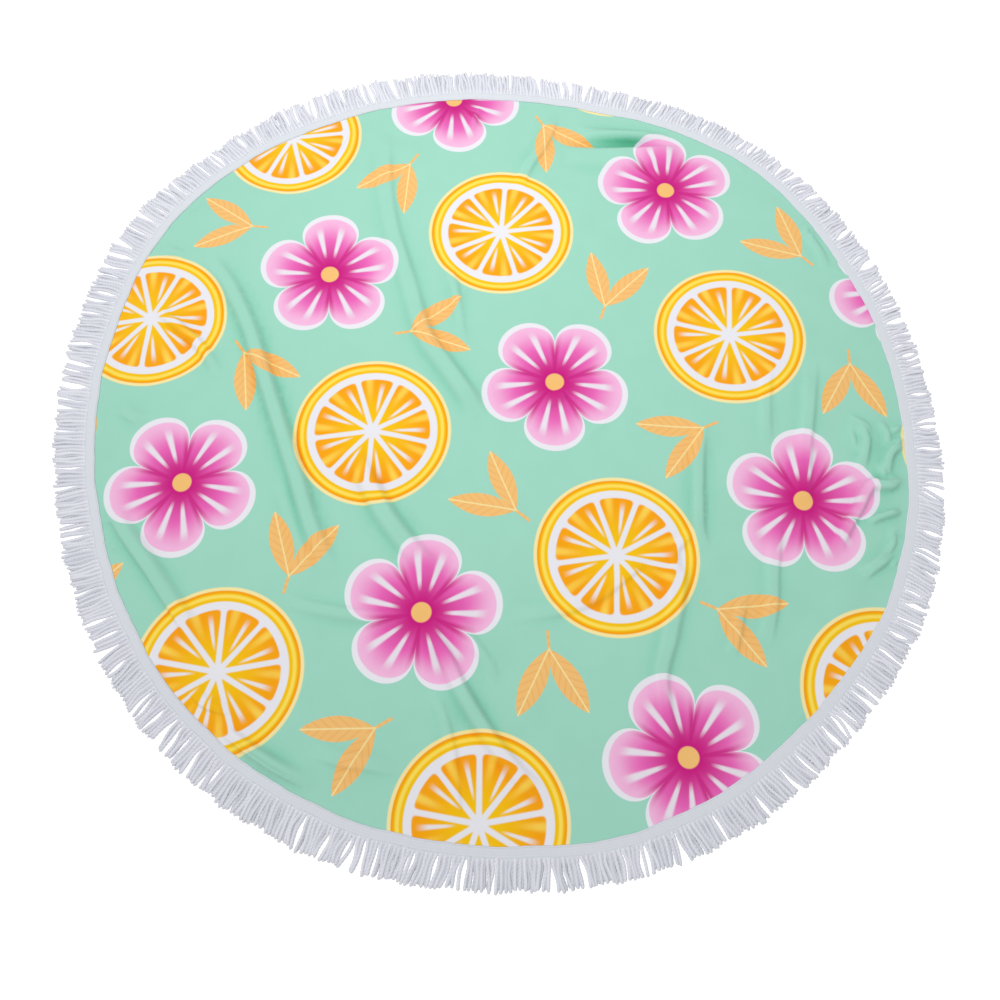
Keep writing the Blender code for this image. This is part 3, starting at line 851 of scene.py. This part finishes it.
class Field:
    """A number that a material works out at each point. Arithmetic on it adds nodes."""

    def __init__(self, socket):
        self.socket = socket
        self.tree = socket.id_data

    def math(self, operation, *others):
        """The result of a math node on this field and others."""
        node = self.tree.nodes.new("ShaderNodeMath")
        node.operation = operation
        for target, value in zip(node.inputs, (self, *others)):
            connect(target, value)
        return Field(node.outputs[0])

    def __add__(self, other):
        return self.math("ADD", other)

    def __sub__(self, other):
        return self.math("SUBTRACT", other)

    def __mul__(self, other):
        return self.math("MULTIPLY", other)

    def __truediv__(self, other):
        return self.math("DIVIDE", other)

    def __rsub__(self, other):
        return (self * -1.0) + other

    __radd__ = __add__
    __rmul__ = __mul__


def set_inputs(node, values):
    """Sets a node's inputs by their names."""
    for name, value in values.items():
        node.inputs[name].default_value = value


def connect(target, value):
    """Links a field or a socket into an input, or sets the input to a number or colour."""
    if isinstance(value, Field):
        value = value.socket
    if isinstance(value, bpy.types.NodeSocket):
        value.id_data.links.new(value, target)
    elif isinstance(value, tuple):
        target.default_value = (*value, 1.0)
    else:
        target.default_value = value


def step(field, low, high):
    """0 where the field is at low, rising smoothly to 1 where it is at high."""
    node = field.tree.nodes.new("ShaderNodeMapRange")
    node.interpolation_type = "SMOOTHSTEP"
    for name, value in (("Value", field), ("From Min", low), ("From Max", high)):
        connect(node.inputs[name], value)
    return Field(node.outputs["Result"])


def mix(share, low, high):
    """A colour between two: low where the share is 0, high where it is 1."""
    node = share.tree.nodes.new("ShaderNodeMix")
    node.data_type = "RGBA"
    connect(node.inputs["Factor"], share)
    colours = [socket for socket in node.inputs if socket.type == "RGBA"]
    connect(colours[0], low)
    connect(colours[1], high)
    return next(socket for socket in node.outputs if socket.type == "RGBA")


def new_material(name, roughness, sheen):
    """A material, with its node tree and its shader."""
    made = bpy.data.materials.new(name)
    made.use_nodes = True
    shader = made.node_tree.nodes["Principled BSDF"]
    set_inputs(shader, {"Roughness": roughness, "Specular IOR Level": 0.2})
    set_inputs(shader, {"Sheen Weight": sheen, "Sheen Roughness": 0.5})
    return made, made.node_tree, shader


def uv(tree, name):
    """The two coordinates of a UV map, and the socket they come from."""
    source = tree.nodes.new("ShaderNodeUVMap")
    source.uv_map = name
    parts = tree.nodes.new("ShaderNodeSeparateXYZ")
    tree.links.new(source.outputs[0], parts.inputs[0])
    return Field(parts.outputs[0]), Field(parts.outputs[1]), source.outputs[0]


def attribute(tree, name):
    """The value that each point of the mesh holds under a name."""
    node = tree.nodes.new("ShaderNodeAttribute")
    node.attribute_name = name
    return Field(node.outputs["Fac"])


def with_painted_shade(colour, shade_amount):
    """A colour darkened and made richer by a field of painted shade."""
    node = shade_amount.tree.nodes.new("ShaderNodeGamma")
    connect(node.inputs["Color"], colour)
    connect(node.inputs["Gamma"], shade_amount + 1.0)
    return node.outputs["Color"]


def noise(tree, place, scale, detail):
    """A soft random field with so many spots to a unit of its coordinates."""
    node = tree.nodes.new("ShaderNodeTexNoise")
    tree.links.new(place, node.inputs["Vector"])
    set_inputs(node, {"Scale": scale, "Detail": detail})
    return Field(node.outputs[0])


def cover(shader, colour, relief, height, strength):
    """Gives a shader its colour, and the low relief of a field."""
    connect(shader.inputs["Base Color"], colour)
    node = relief.tree.nodes.new("ShaderNodeBump")
    set_inputs(node, {"Distance": height, "Strength": strength})
    connect(node.inputs["Height"], relief)
    connect(shader.inputs["Normal"], node.outputs[0])


def citrus(x, y, cloudy):
    """A slice of citrus fruit of radius 1: its colour, and where it covers the ground."""
    segments = 9
    radius = (x * x + y * y).math("SQRT")
    turn = y.math("ARCTAN2", x) * (segments / math.tau)
    wedge = turn.math("FRACT") - 0.5
    from_wall = (0.5 - wedge.math("ABSOLUTE")) * radius * (math.tau / segments)
    from_edge = from_wall.math("SMOOTH_MIN", 0.80 - radius, 0.09)
    flesh = step(from_edge, 0.022, 0.045) * step(radius, 0.08, 0.13)
    colour = mix(step(radius, 0.15, 0.78), GOLD, AMBER)
    streak = step((wedge + 0.17).math("ABSOLUTE"), 0.10, 0.03) * step(radius, 0.24, 0.40)
    streak = streak * step(radius, 0.74, 0.55)
    colour = mix(streak * 0.92, colour, OFF_WHITE)
    glow = step((wedge - 0.2).math("ABSOLUTE"), 0.16, 0.02) * step(radius, 0.35, 0.7)
    colour = mix(glow * (cloudy * 0.6 + 0.35), colour, LEMON)
    colour = mix(flesh, OFF_WHITE, colour)
    rind = step(radius, 0.855, 0.875)
    skin = mix(step((radius - 0.93).math("ABSOLUTE"), 0.035, 0.008), GOLD, LEMON)
    skin = mix(step(radius, 0.955, 0.985), skin, AMBER)
    colour = mix(rind, colour, skin)
    colour = mix(step(radius, 0.995, 1.01), colour, PALE_LEMON)
    return colour, step(radius, 1.055, 1.035)


def flower(x, y, cloudy):
    """A flower of five round petals, of radius 1: its colour, and where it covers the ground."""
    petals = 5
    radius = (x * x + y * y).math("SQRT")
    turn = y.math("ARCTAN2", x) * (petals / math.tau)
    wedge = (turn.math("FRACT") - 0.5).math("ABSOLUTE")
    bulge = (1.0 - wedge * wedge * 4.0).math("MAXIMUM", 0.0).math("SQRT")
    reach = bulge * 0.46 + 0.56
    place = radius / reach
    colour = mix(step(place, 0.12, 0.62), MAGENTA, PINK)
    colour = mix(step(place + (cloudy - 0.5) * 0.12, 0.5, 0.93), colour, BLUSH)
    fold = step(wedge, 0.36, 0.47) * step(place, 1.0, 0.6)
    colour = mix(fold * 0.85, colour, MAGENTA)
    streak = step((wedge - 0.17).math("ABSOLUTE"), 0.075, 0.025) * step(place, 0.25, 0.42)
    streak = streak * step(place, 0.86, 0.66)
    colour = mix(streak * 0.9, colour, OFF_WHITE)
    colour = mix(step(place, 0.905, 0.925), colour, OFF_WHITE)
    colour = mix(step(radius, 0.175, 0.155), colour, MAGENTA)
    colour = mix(step(radius, 0.135, 0.115), colour, PEACH)
    return colour, step(place, 1.0, 0.985)


def sprig(x, y):
    """Two leaves that spread from one stem, of radius 1: their colour, and where they cover the cloth."""
    spread = 0.5
    aside = x.math("ABSOLUTE")
    above = y + 0.62
    across = aside * math.cos(spread) - above * math.sin(spread)
    up = aside * math.sin(spread) + above * math.cos(spread)
    share = (up / 1.36).math("MINIMUM", 1.0).math("MAXIMUM", 0.0)
    width = (share * math.pi).math("SINE").math("POWER", 0.8) * 0.235
    inside = width - across.math("ABSOLUTE")
    veins = (up * 34.0 - across.math("ABSOLUTE") * 40.0).math("SINE")
    colour = mix(step(veins, 0.55, 1.0) * 0.5, PEACH, PEACH_SHADE)
    colour = mix(step(across.math("ABSOLUTE"), 0.022, 0.008) * 0.8, colour, PALE_LEMON)
    stem = step(aside, 0.035, 0.022) * step(y, -0.98, -0.95) * step(y, -0.5, -0.56)
    return colour, step(inside, 0.0, 0.012).math("MAXIMUM", stem)


def rounded(field):
    """A field's nearest whole number."""
    return (field + 0.5).math("FLOOR")


def turned(x, y, turn):
    """Coordinates as seen from axes that are turned by a field of radians."""
    cosine, sine = turn.math("COSINE"), turn.math("SINE")
    return x * cosine + y * sine, y * cosine - x * sine


def printed_material():
    """Mint cloth with the print on it, painted shade in its folds, and its fine weave."""
    made, tree, shader = new_material("mint_print", 0.9, 0.1)
    flat_x, flat_y, flat = uv(tree, "flat")
    cloudy = noise(tree, flat, 24.0, 3.0)
    colour = mix(step(cloudy, 0.3, 0.7) * 0.12, MINT, MINT_SHADE)
    from_x, from_y = flat_x - LATTICE_SHIFT[0], flat_y - LATTICE_SHIFT[1]
    cosine, sine = math.cos(LATTICE_SLANT) / LATTICE_STEP, math.sin(LATTICE_SLANT) / LATTICE_STEP
    column = from_x * cosine + from_y * sine
    row = from_y * cosine - from_x * sine

    mid_column, mid_row = column.math("FLOOR") + 0.5, row.math("FLOOR") + 0.5
    scale = LATTICE_STEP / SPRIG_RADIUS
    x, y = turned((column - mid_column) * scale, (row - mid_row) * scale, mid_column * 1.1 - mid_row * 2.3)
    sprig_colour, on_it = sprig(x, y)
    colour = mix(on_it, colour, sprig_colour)

    mid_column, mid_row = rounded(column), rounded(row)
    scale = LATTICE_STEP / MOTIF_RADIUS
    x, y = turned((column - mid_column) * scale, (row - mid_row) * scale, mid_column * 1.9 + mid_row * 2.6)
    odd = ((mid_column + mid_row) * 0.5).math("FRACT") * 2.0
    citrus_colour, on_it = citrus(x, y, cloudy)
    colour = mix(on_it * odd, colour, citrus_colour)
    flower_colour, on_it = flower(x, y, cloudy)
    colour = mix(on_it * (1.0 - odd), colour, flower_colour)

    # Painted shade: the colours darkened on the folds' slopes and in their hollows, from the points' fold
    # attribute
    colour = with_painted_shade(colour, attribute(tree, "fold"))
    threads = math.tau / WEAVE_PITCH
    weave = (flat_x * threads).math("SINE") * (flat_y * threads).math("SINE")
    nap = noise(tree, flat, 900.0, 1.0)
    cover(shader, colour, weave * 0.25 + nap, CLOTH_RELIEF, 0.5)
    return made


def plain_material():
    """The cloth's unprinted underside."""
    made, tree, shader = new_material("plain_back", 0.92, 0.15)
    _, _, flat = uv(tree, "flat")
    nap = noise(tree, flat, 700.0, 2.0)
    cover(shader, mix(nap, BACK_WHITE, BACK_SHADE), nap, CLOTH_RELIEF, 0.6)
    return made


def tape_material():
    """White woven tape with fine ribs across it, painted shade in the grooves of its ribs and lines, and tone
    that differs at random.
    """
    made, tree, shader = new_material("white_tape", 0.9, 0.1)
    lengthwise, across, flat = uv(tree, "flat")
    ribs = (lengthwise * (math.tau / RIB_PITCH)).math("SINE")
    lines = (across * (math.tau / LINE_PITCH)).math("SINE")
    fuzz = noise(tree, flat, 500.0, 2.0)
    # Painted shade in the grooves of the ribs and lines, with tone that differs at random from the fuzz
    tone = step(ribs * 0.2 + lines * 0.1 + fuzz, 0.1, 1.0)
    relief = ribs * 0.4 + lines * 0.15 + fuzz * 0.5
    cover(shader, mix(tone, TAPE_SHADE, TAPE_WHITE), relief, YARN_RELIEF, 0.5)
    return made


def yarn_material():
    """Soft white cotton yarn: painted shade between its plies and on the strands that lie under the others,
    darker at its cut ends, and no two strands alike.
    """
    made, tree, shader = new_material("white_yarn", 0.95, 0.1)
    along_strand, round_strand, place = uv(tree, "strand")
    tone = attribute(tree, "tone")
    # Painted shade in the grooves between the two plies, mixed with tone that differs at random
    plies = (round_strand * (math.tau * 2)).math("COSINE") * 0.5 + 0.5
    fibres = (round_strand * (math.tau * 14) + along_strand * 60.0).math("SINE")
    fuzz = noise(tree, place, 60.0, 2.0)
    colour = mix(tone * 0.45 + fuzz * 0.25 + plies * 0.3, COTTON_SHADE, COTTON)
    colour = mix(step(along_strand + (tone - 0.5) * 0.06, 0.86, 0.98) * 0.25, colour, COTTON_END)
    # Painted shade on the strands that lie under the others
    colour = mix(step(tone, -0.2, -0.8), colour, COTTON_UNDER_PAINTED_SHADE)
    cover(shader, colour, fibres * 0.4 + fuzz, YARN_RELIEF, 0.6)
    return made


def thread_material():
    """White sewing thread."""
    made, tree, shader = new_material("white_thread", 0.6, 0.1)
    place = tree.nodes.new("ShaderNodeTexCoord").outputs["Object"]
    twist = noise(tree, place, 1500.0, 1.0)
    cover(shader, mix(twist, TAPE_SHADE, TAPE_WHITE), twist, THREAD_RELIEF, 0.5)
    return made


# ---- Floor, light and camera ----


def floor():
    """A plain pale floor."""
    mesh = bpy.data.meshes.new("floor")
    corners = [(FLOOR_REACH * x, FLOOR_REACH * y, 0.0) for x, y in ((-1, -1), (1, -1), (1, 1), (-1, 1))]
    mesh.from_pydata(corners, [], [(0, 1, 2, 3)])
    look = bpy.data.materials.new("pale_floor")
    look.use_nodes = True
    shader = look.node_tree.nodes["Principled BSDF"]
    set_inputs(shader, {"Base Color": FLOOR_TONE, "Roughness": 1.0, "Specular IOR Level": 0.0})
    set_inputs(shader, {"Emission Color": WHITE, "Emission Strength": FLOOR_GLOW})
    mesh.materials.append(look)
    put("floor", mesh, (0.0, 0.0, -FLOOR_DROP))


def lights():
    """Soft daylight from nearly overhead, and a lamp that makes the far half a little brighter."""
    world = bpy.data.worlds.new("studio")
    world.use_nodes = True
    set_inputs(world.node_tree.nodes["Background"], {"Color": WHITE, "Strength": SKY_STRENGTH})
    bpy.context.scene.world = world
    data = bpy.data.lights.new("sun", "SUN")
    data.energy = SUN_STRENGTH
    data.angle = math.radians(SUN_WIDTH)
    sun = put("sun", data, SUN_FROM)
    sun.rotation_euler = Vector(SUN_FROM).to_track_quat("Z", "Y").to_euler()
    data = bpy.data.lights.new("lamp", "AREA")
    data.shape = "DISK"
    data.size = LAMP_WIDTH
    data.energy = LAMP_POWER
    put("lamp", data, LAMP_PLACE).visible_camera = False


def camera():
    """The camera, above the near edge."""
    data = bpy.data.cameras.new("camera")
    data.lens = LENS
    data.sensor_width = SENSOR
    made = put("camera", data, CAMERA_PLACE)
    made.rotation_euler = (math.radians(CAMERA_TILT), 0.0, 0.0)
    bpy.context.scene.camera = made


# ---- The scene ----

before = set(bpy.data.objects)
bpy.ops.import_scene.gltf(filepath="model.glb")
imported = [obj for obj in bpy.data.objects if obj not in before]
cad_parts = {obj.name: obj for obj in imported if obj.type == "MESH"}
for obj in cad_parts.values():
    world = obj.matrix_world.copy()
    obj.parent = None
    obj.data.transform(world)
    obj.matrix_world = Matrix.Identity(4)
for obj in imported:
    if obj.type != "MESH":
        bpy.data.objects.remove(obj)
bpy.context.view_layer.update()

camera()
floor()
lights()
bpy.context.scene.view_settings.view_transform = "Standard"

towel = cloth([printed_material(), plain_material()])
band = tape(tape_material())
sewing = stitches(thread_material())
trim = [band, sewing, *fringe(yarn_material())]

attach(towel, "root")
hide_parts("towel_panel")
for piece in trim:
    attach(piece, "root")
    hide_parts("fringe_trim")
